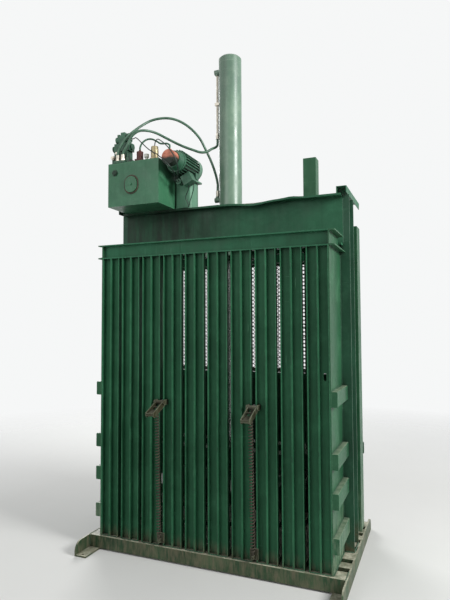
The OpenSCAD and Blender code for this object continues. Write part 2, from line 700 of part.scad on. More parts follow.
// Spring: short straight shanks, then turns that grow from the axis to full size
spring_lo = [0, spring_y, anchor_z - 18 + 0.3];
spring_hi = [0, eye_y, eye_z - eye_d / 2 - 0.3];
spring_turns = 40;
module dog_spring() {
  axis = unit(spring_hi - spring_lo);
  l = norm(spring_hi - spring_lo);
  shank = 14;
  steps = 8;
  r = (spring_od - spring_wire) / 2;
  side = unit(cross(axis, [1, 0, 0]));
  n = spring_turns * steps;
  body = [for (i = [0:n])
    let (a = 360 * i / steps, grow = min(1, min(i, n - i) / steps))
    spring_lo + axis * (shank + (l - 2 * shank) * i / n)
      + r * grow * (cos(a) * [1, 0, 0] + sin(a) * side)];
  coil_sweep(concat([spring_lo], body, [spring_hi]), spring_wire, 5, axis);
}
module coil_sweep(pts, d, sides, axis) {
  m = len(pts) - 1;
  rings = [for (i = [0:m])
    let (c = min(max(i, 1), m - 1), s = unit(cross(pts[c + 1] - pts[c - 1], axis)),
      t = unit(pts[min(i + 1, m)] - pts[max(i - 1, 0)]), b = cross(s, t))
    [for (k = [0:sides - 1]) pts[i] + d / 2 * (cos(360 * k / sides) * s + sin(360 * k / sides) * b)]];
  polyhedron(
    points = [for (r = rings) each r],
    faces = concat(
      [[for (k = [0:sides - 1]) k]],
      [[for (k = [0:sides - 1]) (m + 1) * sides - 1 - k]],
      [for (i = [0:m - 1], k = [0:sides - 1], q = [0, 1])
        let (a = (i + 1) * sides + k, b = (i + 1) * sides + (k + 1) % sides,
          c = i * sides + (k + 1) % sides, e = i * sides + k)
        q == 0 ? [a, b, c] : [a, c, e]]));
}
module dog_spring_right() color(rust) translate([dog_x, 0, 0]) dog_spring();
module dog_spring_left() color(rust) translate([-dog_x, 0, 0]) dog_spring();

// Oil tank and what stands on it
tank_y1 = wall_y + tank_y;
tank_y2 = tank_y1 + tank_d;
tank_top = head_top + tank_h;
lid_t = 6;
lid_z = tank_top + lid_t;
module oil_tank() color(light_green) difference() {
  box([-tank_x - tank_w, tank_y1, head_top], [-tank_x, tank_y2, tank_top]);
  box([-tank_x - tank_w + tank_t, tank_y1 + tank_t, head_top + tank_t],
    [-tank_x - tank_t, tank_y2 - tank_t, tank_top + 1]);
}
module tank_lid() color(light_green)
  box([-tank_x - tank_w, tank_y1, tank_top], [-tank_x, tank_y2, lid_z]);
cover_x = -tank_x - tank_w / 2 - 13;
cover_z = head_top + tank_h / 2 - 8;
plug_in = 66;
plug_down = 74;
module access_cover() color(light_green) {
  translate([cover_x, tank_y1, cover_z]) rotate([90, 0, 0]) {
    linear_extrude(5) obround2d(126, 150);
    translate([0, 0, 5]) linear_extrude(9) obround2d(106, 130);
    translate([0, 0, 14]) cylinder(h = 9, d = 20, $fn = 6);
  }
}
module level_plug() color(green) translate([-tank_x - tank_w + plug_in, tank_y1, tank_top - plug_down])
  rotate([90, 0, 0]) {
    cylinder(h = 8, d = 52, $fn = 6);
    translate([0, 0, 8]) cylinder(h = 8, d = 36);
  }
module filler_cap() color([0.85, 0.85, 0.82]) {
  rod_z(-tank_x - 135, tank_y1 + 45, lid_z, 30, 22);
  rod_z(-tank_x - 135, tank_y1 + 45, lid_z + 30, 26, 38);
}
filter_at = [-tank_x - 66, tank_y1 + 55, lid_z];
filter_h = 110;
module return_filter() color([0.55, 0.45, 0.25]) translate(filter_at) {
  cylinder(h = 14, d = 76);
  translate([0, 0, 14]) cylinder(h = 70, d = 62);
  translate([0, 0, 84]) cylinder(h = filter_h - 84, d1 = 62, d2 = 56);
}
relief_at = [-tank_x - 200, tank_y1 + 50, lid_z];
relief_h = 98;
module relief_valve() color([0.35, 0.12, 0.10]) translate(relief_at) {
  translate([-32, -30, 0]) cube([64, 60, 22]);
  translate([0, 0, 22]) cylinder(h = 62, d = 54);
  translate([0, 0, 84]) cylinder(h = relief_h - 84, d = 22, $fn = 6);
}
// Valve stack: its own corner on the lid, then sizes from that corner
valve_at = [-tank_x - tank_w + 16, tank_y1 + 30, lid_z];
valve_w = 150;
valve_d = 110;
valve_h = 180;
riser_z = 20;
riser_a = [65, -15];
riser_b = [113, -15];
nut_h = 14;
nut_d = 34;
ferrule_h = 34;
ferrule_d = 30;
coil_d = 58;
module valve_stack() color(green) translate(valve_at) {
  cube([valve_w, valve_d, 50]);
  translate([42, -32, 2]) cube([94, 33, riser_z - 2]);
  translate([6, 22, 50]) cube([64, 76, 66]);
  translate([84, 14, 50]) cube([50, 84, 66]);
  translate([10, 14, 116]) cube([valve_w - 4, 76, valve_h - 116]);
  for (x = [-6, valve_w + 6]) translate([x, 52, 148]) rotate([0, 90, 0])
    for (k = [0:2]) translate([0, 0, k * 9 - 12]) cylinder(h = 6, d = 52 - 6 * k % 12);
  translate([-12, 52, 148]) rotate([0, 90, 0]) cylinder(h = valve_w + 24, d = 40);
  translate([52, 15, valve_h - 1]) cube([62, 60, 68]);
  translate([64, 26, valve_h + 66]) cube([38, 38, 28]);
  for (x = [18, 113]) translate([x, 45, coil_z]) rotate([0, 90, 0]) cylinder(h = 35, d = coil_d);
  for (x = [10, 147]) translate([x, 45, coil_z]) rotate([0, 90, 0]) cylinder(h = 10, d = 24);
  for (x = [26, 121]) translate([x, 34, coil_z + coil_d / 2 - 4]) cube([20, 22, 24]);
}
coil_z = valve_h + 34;
module riser(at) translate(valve_at + [at[0], at[1], riser_z]) {
  cylinder(h = nut_h, d = nut_d, $fn = 6);
  translate([0, 0, nut_h - 0.5]) cylinder(h = ferrule_h + 0.5, d = ferrule_d);
}
coupling_z = port_low + joint_up;
module hydraulic_fittings() color(steel) {
  riser(riser_a);
  riser(riser_b);
  for (p = [[20, 0, 52, 36, 26], [38, 22, 98, 30, 14]])
    translate(valve_at + [p[0], p[1], p[2]]) rotate([90, 0, 0]) {
      cylinder(h = p[4], d = p[3], $fn = 6);
      translate([0, 0, p[4] - 1]) cylinder(h = 10, d = 0.62 * p[3]);
    }
  translate([-port_x, mid_y, 0]) {
    for (z = [port_low + stub_l, coupling_z + ferrule_h])
      translate([0, 0, z]) cylinder(h = nut_h, d = nut_d, $fn = 6);
    translate([0, 0, port_low + stub_l + nut_h - 0.5]) cylinder(h = ferrule_h + 0.5, d = ferrule_d);
    translate([0, 0, coupling_z]) cylinder(h = ferrule_h + 0.5, d = ferrule_d);
    translate([0, 0, coupling_z + ferrule_h + nut_h - 0.5])
      cylinder(h = port_high - stub_l - coupling_z - ferrule_h - nut_h + 0.5, d = hose_d - 2);
  }
  translate([-port_x - 18, mid_y - 16, (coupling_z + port_high) / 2]) difference() {
    cube([port_x + 18 - barrel_d / 2 + 3, 32, 22]);
    translate([port_x + 18, 16, -1]) cylinder(h = 24, d = barrel_d);
  }
}

// Motor and pump
axis_x = -tank_x + motor_r + 8;
axis_z = head_top + motor_z;
ped_y = col_y - head_f;
ped_len = ped_w;
flange_r = motor_r - 12;
motor_y = tank_y1 + 90;
module motor_pedestal() color(light_green) {
  along_z(head_top, ped_h) difference() {
    translate([-tank_x, ped_y]) rounded2d(ped_w, ped_len, ped_r);
    translate([-tank_x + tank_t, ped_y + tank_t])
      rounded2d(ped_w - 2 * tank_t, ped_len - 2 * tank_t, ped_r - tank_t);
  }
  along_z(head_top + ped_h, 12) translate([-tank_x, ped_y]) rounded2d(ped_w + 30, ped_len, 8);
}
foot_z = head_top + ped_h + 12;
bell_l = 50;
bell_r = pump_d / 2 + 4;
module motor() color(green) {
  core = motor_r - 14;
  fins = 26;
  rod_y(axis_x, motor_y, motor_l, axis_z, 2 * core);
  for (i = [0:fins - 1]) translate([axis_x, motor_y + 18, axis_z]) rotate([0, 360 * (i + 0.5) / fins, 0])
    translate([core - 3, 0, -2]) cube([17, motor_l - 18, 4]);
  rod_y(axis_x, motor_y, 18, axis_z, 2 * flange_r);
  foot_y = ped_y + 12;
  foot_l = motor_y + motor_l - foot_y - 4;
  difference() {
    box([axis_x - motor_r + 12, foot_y, foot_z],
      [axis_x + motor_r - 12, foot_y + foot_l, axis_z - core * 0.6]);
    rod_y(axis_x, foot_y - 1, foot_l + 2, axis_z, 2 * core - 2);
  }
  translate([axis_x, motor_y + 1, axis_z]) rotate([90, 0, 0]) {
    cylinder(h = bell_l, r1 = flange_r - 6, r2 = bell_r);
    translate([0, 0, bell_l - 1]) cylinder(h = 12, r = bell_r + 4);
  }
}
module fan_cover() color(green) difference() {
  union() {
    rod_y(axis_x, motor_y + motor_l, 50, axis_z, 2 * motor_r);
    rod_y(axis_x, motor_y + motor_l + 50, 10, axis_z, 2 * motor_r - 10);
  }
  rod_y(axis_x, motor_y + motor_l - 1, 51, axis_z, 2 * motor_r - 8);
  for (r = [22:12:82]) difference() {
    rod_y(axis_x, motor_y + motor_l + 40, 30, axis_z, 2 * r + 6);
    rod_y(axis_x, motor_y + motor_l + 39, 32, axis_z, 2 * r - 2);
    for (a = [0:60:120]) translate([axis_x, motor_y + motor_l + 50, axis_z]) rotate([0, a, 0])
      cube([2 * motor_r, 40, 8], center = true);
  }
}
pump_y = motor_y - bell_l - 11;
pump_port = [axis_x - 8, pump_y - 24, axis_z + pump_d / 2 + 12];
module pump() color([0.62, 0.30, 0.20]) {
  translate([axis_x, pump_y + 0.5, axis_z]) rotate([90, 0, 0]) {
    cylinder(h = 46, d = pump_d);
    translate([0, 0, 45]) cylinder(h = 5, d = pump_d - 8);
    translate([0, 0, 49]) cylinder(h = 15, d = pump_d);
    for (a = [45:90:315]) rotate(a) translate([0.38 * pump_d, 0, 63]) cylinder(h = 7, d = 14, $fn = 6);
  }
  rod_z(pump_port[0], pump_port[1], axis_z, pump_port[2] - axis_z, 30);
}

// Conduit box under the motor, turned with the motor's curve, and an elbow on its side
box_turn = 64;
box_in = 8;
box_r = motor_r + box_in;
box_y = motor_y + 60;
elbow_d = 46;
elbow_r = 24;
elbow_y = 2;
elbow_t = 30;
module conduit_box() color(green) {
  translate([axis_x, box_y, axis_z]) rotate([0, box_turn, 0]) {
    difference() {
      translate([motor_r - 16, 20, -26]) cube([box_in + 17, 52, 52]);
      rotate([-90, 0, 0]) cylinder(h = box_s, r = motor_r + 0.3);
    }
    translate([box_r, 0, -box_s / 2]) cube([box_s - 8, box_s - 4, box_s]);
    translate([box_r + box_s - 8, -3, -box_s / 2 - 3]) cube([5, box_s + 2, box_s + 6]);
    translate([box_r + elbow_r, elbow_y + 22, 14 - box_s / 2 - elbow_t]) cylinder(h = elbow_t - 13, d = 34);
    translate([box_r + elbow_r, elbow_y, -box_s / 2 - elbow_t]) rotate([-90, 0, 0])
      cylinder(h = 60, d = elbow_d);
  }
}
// A point of the box's own axes: out from the motor, along it, across
function box_pt(r, y, t) = [axis_x + r * cos(box_turn) + t * sin(box_turn), box_y + y,
  axis_z - r * sin(box_turn) + t * cos(box_turn)];

// Hoses and leads: points chosen by hand along each route, from the tank's corner or the port
corner = [-tank_x, tank_y1, head_top];
function from_corner(pts) = [for (p = pts) corner + p];
function riser_top(at, up) = valve_at + [at[0], at[1], riser_z + nut_h + ferrule_h + up];
function port_pt(y, z) = [-port_x, mid_y + y, z];
port_end = port_low + stub_l + nut_h + ferrule_h;
hose_a = concat([for (u = [0.9, 8, 16]) riser_top(riser_a, u)],
  from_corner([[-356, 10, 499], [-320, 20, 555], [-283, 45, 604], [-245, 75, 647], [-208, 120, 695],
    [-166, 165, 736], [-95, 189, 752], [-15, 215, 750], [64, 242, 722], [141, 274, 667], [214, 313, 577],
    [243, 352, 502], [272, 397, 415], [302, 420, 315]]),
  [for (u = [60, 20, 10, 0.9]) port_pt(0, port_end + u)]);
hose_b = concat([for (u = [0.9, 8, 16]) riser_top(riser_b, u)],
  from_corner([[-303, 10, 484], [-273, 15, 547], [-242, 25, 587], [-204, 40, 611], [-160, 75, 620],
    [-112, 140, 618], [-49, 188, 586], [23, 223, 545], [95, 255, 509], [168, 285, 480], [222, 310, 462],
    [262, 335, 468], [290, 372, 500]]),
  [port_pt(-12, coupling_z - 62), port_pt(0, coupling_z - 26), port_pt(0, coupling_z - 12),
    port_pt(0, coupling_z - 0.9)]);
module main_hoses() color([0.12, 0.20, 0.15]) {
  sweep(smooth(hose_a, 3), hose_d, 10, [0, 1, 0]);
  sweep(smooth(hose_b, 3), hose_d, 10, [0, 1, 0]);
}
pressure_pipe = concat([for (u = [0.9, 10, 20]) relief_at + [0, 0, relief_h + u]],
  from_corner([[-188, 62, 515], [-160, 76, 543], [-122, 84, 548], [-70, 72, 524], [-10, 48, 482]]),
  [for (u = [34, 17, 0.9]) pump_port + [0, 0, u]]);
module small_pipes() color(light_green) sweep(smooth(pressure_pipe, 3), 16, 8, [0, 1, 0]);
// Two cables to the elbow: from the upper valve's coil and from the filter's sender
elbow_in = box_s / 2 + elbow_t;
function elbow_face(out, t) = box_pt(box_r + elbow_r, elbow_y - out, t - elbow_in);
lead_a = concat([for (u = [8, 18, 28]) valve_at + [valve_w + u, 45, coil_z]],
  from_corner([[-236, 44, 562], [-170, 28, 504], [-94, 17, 434], [-10, 4, 380], [26, -28, 352],
    [74, -56, 314], [124, -60, 264], [126, 20, 228]]),
  [for (u = [22, 12, 0.9]) elbow_face(u, -9)]);
lead_b = concat([for (u = [0.9, 8, 16]) filter_at + [0, 0, filter_h + u]],
  from_corner([[-52, 46, 512], [-22, 28, 514], [10, 12, 494], [66, -26, 450], [120, -54, 398],
    [160, -56, 342], [178, -34, 292], [160, 26, 240]]),
  [for (u = [24, 12, 0.9]) elbow_face(u, 9)]);
foot_x = corner[0] + ped_w - ped_r + 6;
lead_1 = concat([for (u = [0.9, 7, 14]) box_pt(box_r + box_s - 3 + u, 40, -22)],
  [[foot_x - 14, ped_y - 34, head_top + 78], [foot_x - 2, ped_y - 16, head_top + 30],
    [foot_x, ped_y - 9, head_top + 12], [foot_x, ped_y - 5, head_top + 9],
    [foot_x, ped_y - 1.5, head_top + 8]]);
lead_2 = concat([for (u = [0.9, 7, 14]) box_pt(box_r + box_s - 3 + u, 58, 16)],
  [[foot_x + 36, ped_y - 26, head_top + 84], [foot_x + 12, ped_y - 14, head_top + 36],
    [foot_x + 9, ped_y - 9, head_top + 24], [foot_x + 9, ped_y - 5, head_top + 21],
    [foot_x + 9, ped_y - 2.5, head_top + 20]]);
module motor_leads() color(black) {
  sweep(smooth(lead_a, 3), 9, 8, [0, 0, 1]);
  sweep(smooth(lead_b, 3), 9, 8, [1, 0, 0]);
  sweep(smooth(lead_1, 4), 7, 8, [1, 0, 0]);
  sweep(smooth(lead_2, 4), 7, 8, [1, 0, 0]);
}

// Control box on the left side between the column and the front post
ctl_d = 74;
ctl_z = 1450;
ctl_h = 320;
ctl_y1 = col_y2 + 8;
ctl_y2 = fpost_y - 8;
button_x = plate_x + ctl_d;
button_y = (ctl_y1 + ctl_y2) / 2;
button_z = [for (f = [0.78, 0.53, 0.25]) ctl_z + f * ctl_h];
button_d = 30;
button_throw = 4;
module control_box() mirror([1, 0, 0]) color([0.55, 0.57, 0.55]) difference() {
  box([plate_x, ctl_y1, ctl_z], [button_x, ctl_y2, ctl_z + ctl_h]);
  box([plate_x + 4, ctl_y1 + 4, ctl_z + 4], [button_x - 3, ctl_y2 - 4, ctl_z + ctl_h - 4]);
  for (z = button_z) rod_x(button_x - 6, 12, button_y, z, button_d + 1);
}
module button(z, head, l) mirror([1, 0, 0]) {
  rod_x(button_x - 20, 20 + button_throw + 1, button_y, z, button_d);
  rod_x(button_x + button_throw + 0.6, l, button_y, z, head);
}
module button_up() color("green") button(button_z[0], 34, 6);
module button_down() color("white") button(button_z[1], 34, 6);
module button_stop() color("red") button(button_z[2], 44, 9);

mirror([1, 0, 0]) skid();  // skid_left
skid();  // skid_right
base_members();
floor_channels();
rear_panels();
rear_top_channel();
side_top_channels();
mirror([1, 0, 0]) side_plate();  // side_plate_left
side_plate();  // side_plate_right
mirror([1, 0, 0]) side_ribs();  // side_ribs_left
side_ribs();  // side_ribs_right
mirror([1, 0, 0]) column();  // column_left
column();  // column_right
mirror([1, 0, 0]) front_post();  // front_post_left
front_post_right();
front_header();
sill_beam();
side_headers();
gate_guides();
head_beam_rear();
head_beam_front();
cylinder_barrel();
cylinder_head();
cylinder_cap();
cylinder_bolts();
guide_sleeves();
platen();
piston_rod();
guide_posts();
feed_gate();
lower_door();
door_hinges();
lock_collar();
lock_screw();
bale_dog_left();
bale_dog_right();
dog_spring_left();
dog_spring_right();
dog_brackets();
oil_tank();
tank_lid();
access_cover();
level_plug();
filler_cap();
return_filter();
relief_valve();
valve_stack();
hydraulic_fittings();
motor_pedestal();
motor();
fan_cover();
pump();
conduit_box();
main_hoses();
small_pipes();
motor_leads();
control_box();
button_up();
button_down();
button_stop();
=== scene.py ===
import bpy
import math
import random
from mathutils import Matrix, Vector


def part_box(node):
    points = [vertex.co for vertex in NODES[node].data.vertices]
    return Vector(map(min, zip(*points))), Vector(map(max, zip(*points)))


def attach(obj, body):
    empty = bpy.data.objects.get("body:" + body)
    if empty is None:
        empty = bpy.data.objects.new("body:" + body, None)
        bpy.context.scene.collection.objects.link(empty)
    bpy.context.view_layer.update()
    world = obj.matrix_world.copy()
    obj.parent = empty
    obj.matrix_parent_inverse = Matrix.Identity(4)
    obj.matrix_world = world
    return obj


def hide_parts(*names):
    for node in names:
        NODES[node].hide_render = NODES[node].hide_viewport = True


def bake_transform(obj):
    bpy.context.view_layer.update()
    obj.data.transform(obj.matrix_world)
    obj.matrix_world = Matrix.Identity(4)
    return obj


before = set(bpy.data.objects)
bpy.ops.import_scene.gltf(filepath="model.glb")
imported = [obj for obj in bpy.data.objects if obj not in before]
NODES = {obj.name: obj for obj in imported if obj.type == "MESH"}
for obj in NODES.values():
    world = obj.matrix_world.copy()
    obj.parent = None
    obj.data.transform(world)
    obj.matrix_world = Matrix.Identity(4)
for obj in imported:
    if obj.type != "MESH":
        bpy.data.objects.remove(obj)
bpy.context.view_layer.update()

# Camera fitted to the photograph
CAM_AT = (1.587, -3.947, 1.741)
YAW, PITCH, ROLL = math.radians(22.51), math.radians(2.77), math.radians(-0.23)
LENS = 31.09
fwd = Vector((-math.sin(YAW) * math.cos(PITCH), math.cos(YAW) * math.cos(PITCH), math.sin(PITCH)))
side = Vector((math.cos(YAW), math.sin(YAW), 0))
upv = side.cross(fwd)
right = side * math.cos(ROLL) + upv * math.sin(ROLL)
up = -side * math.sin(ROLL) + upv * math.cos(ROLL)
cam_data = bpy.data.cameras.new("photo_camera")
cam_data.lens = LENS
cam_data.sensor_width = 36
cam = bpy.data.objects.new("photo_camera", cam_data)
cam.matrix_world = Matrix((
    (right.x, up.x, -fwd.x, CAM_AT[0]),
    (right.y, up.y, -fwd.y, CAM_AT[1]),
    (right.z, up.z, -fwd.z, CAM_AT[2]),
    (0, 0, 0, 1)))
bpy.context.collection.objects.link(cam)
bpy.context.scene.camera = cam


# Shader node helpers
class Tree:
    """Short names for the shader nodes of one material."""

    def __init__(self, name):
        self.mat = bpy.data.materials.new(name)
        self.mat.use_nodes = True
        self.nt = self.mat.node_tree
        self.nt.nodes.clear()
        self.out = self.nt.nodes.new("ShaderNodeOutputMaterial")
        self.bsdf = self.nt.nodes.new("ShaderNodeBsdfPrincipled")
        self.nt.links.new(self.bsdf.outputs[0], self.out.inputs[0])
        self.co = self.nt.nodes.new("ShaderNodeTexCoord").outputs["Object"]

    def link(self, a, b):
        self.nt.links.new(a, b)

    def scaled(self, sx, sy, sz):
        m = self.nt.nodes.new("ShaderNodeMapping")
        m.inputs["Scale"].default_value = (sx, sy, sz)
        self.link(self.co, m.inputs["Vector"])
        return m.outputs[0]

    def noise(self, scale, detail=4, rough=0.6, vec=None, dist=0.0):
        n = self.nt.nodes.new("ShaderNodeTexNoise")
        n.inputs["Scale"].default_value = scale
        n.inputs["Detail"].default_value = detail
        n.inputs["Roughness"].default_value = rough
        n.inputs["Distortion"].default_value = dist
        self.link(vec if vec else self.co, n.inputs["Vector"])
        return n.outputs["Fac"]

    def ramp(self, fac, a, b, lo=0.0, hi=1.0):
        n = self.nt.nodes.new("ShaderNodeMapRange")
        n.clamp = True
        for key, v in (("From Min", a), ("From Max", b), ("To Min", lo), ("To Max", hi)):
            n.inputs[key].default_value = v
        self.link(fac, n.inputs["Value"])
        return n.outputs[0]

    def math(self, op, a, b):
        n = self.nt.nodes.new("ShaderNodeMath")
        n.operation = op
        for i, v in enumerate((a, b)):
            if isinstance(v, (int, float)):
                n.inputs[i].default_value = v
            else:
                self.link(v, n.inputs[i])
        return n.outputs[0]

    def mix(self, fac, a, b):
        n = self.nt.nodes.new("ShaderNodeMix")
        n.data_type = "RGBA"
        for i, v in ((0, fac), (6, a), (7, b)):
            if isinstance(v, (int, float)):
                n.inputs[i].default_value = v
            elif isinstance(v, tuple):
                n.inputs[i].default_value = (*v, 1)
            else:
                self.link(v, n.inputs[i])
        return n.outputs[2]

    def xyz(self, vec=None):
        n = self.nt.nodes.new("ShaderNodeSeparateXYZ")
        self.link(vec if vec else self.co, n.inputs[0])
        return n.outputs

    def normal(self):
        return self.xyz(self.nt.nodes.new("ShaderNodeNewGeometry").outputs["Normal"])

    def edges(self, width, lo, hi):
        """1 along convex and concave edges, 0 on flats."""
        b = self.nt.nodes.new("ShaderNodeBevel")
        b.samples = 4
        b.inputs["Radius"].default_value = width
        g = self.nt.nodes.new("ShaderNodeNewGeometry")
        d = self.nt.nodes.new("ShaderNodeVectorMath")
        d.operation = "DOT_PRODUCT"
        self.link(b.outputs[0], d.inputs[0])
        self.link(g.outputs["True Normal"], d.inputs[1])
        return self.ramp(d.outputs["Value"], hi, lo)

    def occlusion(self, dist, lo, hi):
        """1 in tight corners, 0 in the open."""
        n = self.nt.nodes.new("ShaderNodeAmbientOcclusion")
        n.samples = 4
        n.inputs["Distance"].default_value = dist
        return self.ramp(n.outputs["AO"], lo, hi)

    def bump(self, height, strength, dist):
        n = self.nt.nodes.new("ShaderNodeBump")
        n.inputs["Strength"].default_value = strength
        n.inputs["Distance"].default_value = dist
        self.link(height, n.inputs["Height"])
        if self.bsdf.inputs["Normal"].links:
            self.link(self.bsdf.inputs["Normal"].links[0].from_socket, n.inputs["Normal"])
        self.link(n.outputs[0], self.bsdf.inputs["Normal"])


# Colours of dirt and rust, of painted shade and of darkening towards the bottom, in linear light
RUST = (0.085, 0.040, 0.020)
RUST_LIGHT = (0.20, 0.10, 0.045)
DUST = (0.23, 0.215, 0.17)
# Dark colour for running dirt, and for painted shade in corners and the painted shadow under the tank
GRIME_AND_SHADE = (0.012, 0.014, 0.011)
STAIN = (0.15, 0.13, 0.085)
PALE_DUST = (0.26, 0.31, 0.22)
SAND = (0.50, 0.49, 0.38)
LOW_DIRT = (0.055, 0.052, 0.038)
BOTTOM_DARK = (0.020, 0.030, 0.022)


def srgb(r, g, b):
    """A colour of 0 to 255 in linear light."""
    return tuple(((c / 255 + 0.055) / 1.055) ** 2.4 if c > 10 else c / 255 / 12.92 for c in (r, g, b))


def lighter(color, gain, lift):
    """The colour of paint that is rubbed thin."""
    return tuple(min(1, c * gain + lift) for c in color)


def running_dirt(t, grime):
    """Mask of dirt that ran down in streaks, here and there."""
    run = t.math("MULTIPLY", t.ramp(t.noise(1.0, 5, 0.6, t.scaled(30, 30, 1.1)), 0.48, 0.72), grime)
    return t.math("MULTIPLY", run, t.ramp(t.noise(2.3, 4), 0.36, 0.6, 0.15, 1))


def scratched(t, col, scratch, light):
    """Fine scratches, upright and level, in patches."""
    upright = t.ramp(t.noise(1.0, 2, 0.5, t.scaled(210, 210, 5)), 0.70, 0.74)
    level = t.ramp(t.noise(1.0, 2, 0.5, t.scaled(9, 9, 240)), 0.71, 0.75)
    where = t.ramp(t.noise(3.1, 4, 0.7), 0.46, 0.62)
    mask = t.math("MULTIPLY", t.math("MAXIMUM", upright, level), where)
    return t.mix(t.math("MULTIPLY", mask, scratch), col, lighter(light, 1.5, 0.06))


def dusty(t, col, dust, dust_col):
    """Patchy dust on faces that look up."""
    up_face = t.math("MULTIPLY", t.ramp(t.normal()[2], 0.6, 0.95), t.ramp(t.noise(14, 5), 0.22, 0.58))
    return t.mix(t.math("MULTIPLY", up_face, dust), col, dust_col)


def painted_shadow(t, col, shadow_box):
    """Dark painted shadow, in patches, that grows from x1 towards x0 and from z0 towards z1."""
    x0, x1, z0, z1 = shadow_box
    c = t.xyz()
    mask = t.math("MULTIPLY", t.ramp(c[0], x1, x0), t.ramp(c[2], z0, z1))
    mask = t.math("MULTIPLY", mask, t.ramp(t.noise(1.0, 6, 0.65, t.scaled(9, 9, 1.6)), 0.22, 0.58))
    return t.mix(t.math("MULTIPLY", mask, 0.8), col, GRIME_AND_SHADE)


def worn(t, col, wear, light):
    """Edges rubbed to a lighter colour, in patches."""
    e = t.math("MULTIPLY", t.edges(0.004, 0.72, 0.985), t.ramp(t.noise(22, 6, 0.7), 0.36, 0.6, 0.1, 1))
    return t.mix(t.math("MULTIPLY", e, wear), col, lighter(light, 1.6, 0.03))


def corner_shade_and_dirt(t, col, corner_shade):
    """Painted shade and dark dirt in tight corners."""
    ao = t.math("MULTIPLY", t.occlusion(0.05, 0.75, 0.25), t.ramp(t.noise(9, 5), 0.25, 0.6, 0.35, 1))
    return t.mix(t.math("MULTIPLY", ao, corner_shade), col, GRIME_AND_SHADE)


def rusted(t, col, rust, rust_z):
    """Rust spots, with dirt and more spots below rust_z. Gives the colour and the mask of the spots."""
    spots = t.ramp(t.noise(38, 7, 0.75, dist=0.3), 0.74 - rust * 0.25, 0.80 - rust * 0.2)
    if rust_z:
        z = t.xyz()[2]
        low = t.math("MULTIPLY", t.ramp(z, rust_z, 0.08), t.ramp(t.noise(11, 7, 0.7), 0.44, 0.60))
        col = t.mix(t.math("MULTIPLY", t.ramp(z, rust_z, 0.0), 0.45), col, LOW_DIRT)
        spots = t.math("MAXIMUM", spots, t.math("MULTIPLY", low, 0.7))
    rust_col = t.mix(t.ramp(t.noise(55, 4), 0.35, 0.65), RUST, RUST_LIGHT)
    return t.mix(t.math("MULTIPLY", spots, 0.8), col, rust_col), spots


def splashed(t, col, foot, foot_col):
    """Dirt splashed up from the ground, which ends at the height foot."""
    z = t.ramp(t.xyz()[2], foot, 0.12)
    f = t.math("MULTIPLY", z, t.ramp(t.noise(1.0, 6, 0.7, t.scaled(40, 40, 7)), 0.42, 0.62))
    return t.mix(t.math("MULTIPLY", f, 0.65), col, foot_col)


def darken_below(t, col, darker_below):
    """Darker colour that begins below the first height and covers all from the second height down."""
    z_plain, z_dark, below_col = darker_below
    z = t.math("ADD", t.xyz()[2], t.ramp(t.noise(30, 4), 0.3, 0.7, -0.008, 0.008))
    return t.mix(t.ramp(z, z_plain, z_dark), col, below_col)


def paint(name, base, dark, light, grime=0.5, rust=0.1, rust_z=0.0, dust=0.4, wear=0.5, rough=0.42,
          corner_shade=0.7, scratch=0.3, gloss=0.2, shadow_box=None, dust_col=DUST, foot=0.0, foot_col=STAIN, darker_below=None):
    """Old machine enamel: uneven colour, dirt, scratches, worn edges, rust and dust, with painted shade in
    tight corners and, where asked, a painted shadow and darkening towards the bottom.
    """
    t = Tree(name)
    col = t.mix(t.ramp(t.noise(1.7, 5, 0.6), 0.35, 0.68), dark, base)
    patch = t.noise(7.0, 6, 0.65, dist=0.4)
    col = t.mix(t.math("MULTIPLY", t.ramp(patch, 0.5, 0.78), 0.5), col, light)
    run = running_dirt(t, grime)
    col = t.mix(run, col, tuple(c * 0.35 + g * 0.6 for c, g in zip(dark, GRIME_AND_SHADE)))
    if scratch:
        col = scratched(t, col, scratch, light)
    col = dusty(t, col, dust, dust_col)
    # Painted shadow over the given span of x and z
    if shadow_box:
        col = painted_shadow(t, col, shadow_box)
    if wear:
        col = worn(t, col, wear, light)
    # Painted shade and dirt in tight corners
    col = corner_shade_and_dirt(t, col, corner_shade)
    col, spots = rusted(t, col, rust, rust_z)
    if foot:
        col = splashed(t, col, foot, foot_col)
    # Darker towards the bottom, where asked
    if darker_below:
        col = darken_below(t, col, darker_below)
    t.link(col, t.bsdf.inputs["Base Color"])
    r = t.ramp(t.noise(7, 5), 0.3, 0.7, rough - 0.1, rough + 0.14)
    r = t.math("ADD", r, t.math("MULTIPLY", t.math("MAXIMUM", spots, run), 0.22))
    t.link(r, t.bsdf.inputs["Roughness"])
    t.bsdf.inputs["Specular IOR Level"].default_value = gloss
    t.bump(t.noise(170, 3), 0.10, 0.0006)
    t.bump(t.noise(4.5, 3), 0.35, 0.004)
    return t.mat


def metal(name, base, dark, rough, rust=0.0, metallic=1.0):
    """Bare or greasy steel with stains and rust, and painted shade in tight corners."""
    t = Tree(name)
    col = t.mix(t.ramp(t.noise(11, 6, 0.65), 0.35, 0.68), dark, base)
    if rust:
        s = t.ramp(t.noise(24, 7, 0.75), 0.62 - rust * 0.3, 0.72 - rust * 0.2)
        col = t.mix(s, col, t.mix(t.ramp(t.noise(60, 4), 0.35, 0.65), RUST, RUST_LIGHT))
        t.link(t.ramp(s, 0, 1, metallic, 0.0), t.bsdf.inputs["Metallic"])
    else:
        t.bsdf.inputs["Metallic"].default_value = metallic
    # Painted shade: darker in tight corners
    ao = t.math("MULTIPLY", t.occlusion(0.02, 0.8, 0.3), 0.6)
    t.link(t.mix(ao, col, GRIME_AND_SHADE), t.bsdf.inputs["Base Color"])
    t.link(t.ramp(t.noise(19, 5), 0.3, 0.7, rough - 0.08, rough + 0.18), t.bsdf.inputs["Roughness"])
    t.bump(t.noise(120, 4), 0.15, 0.0008)
    return t.mat


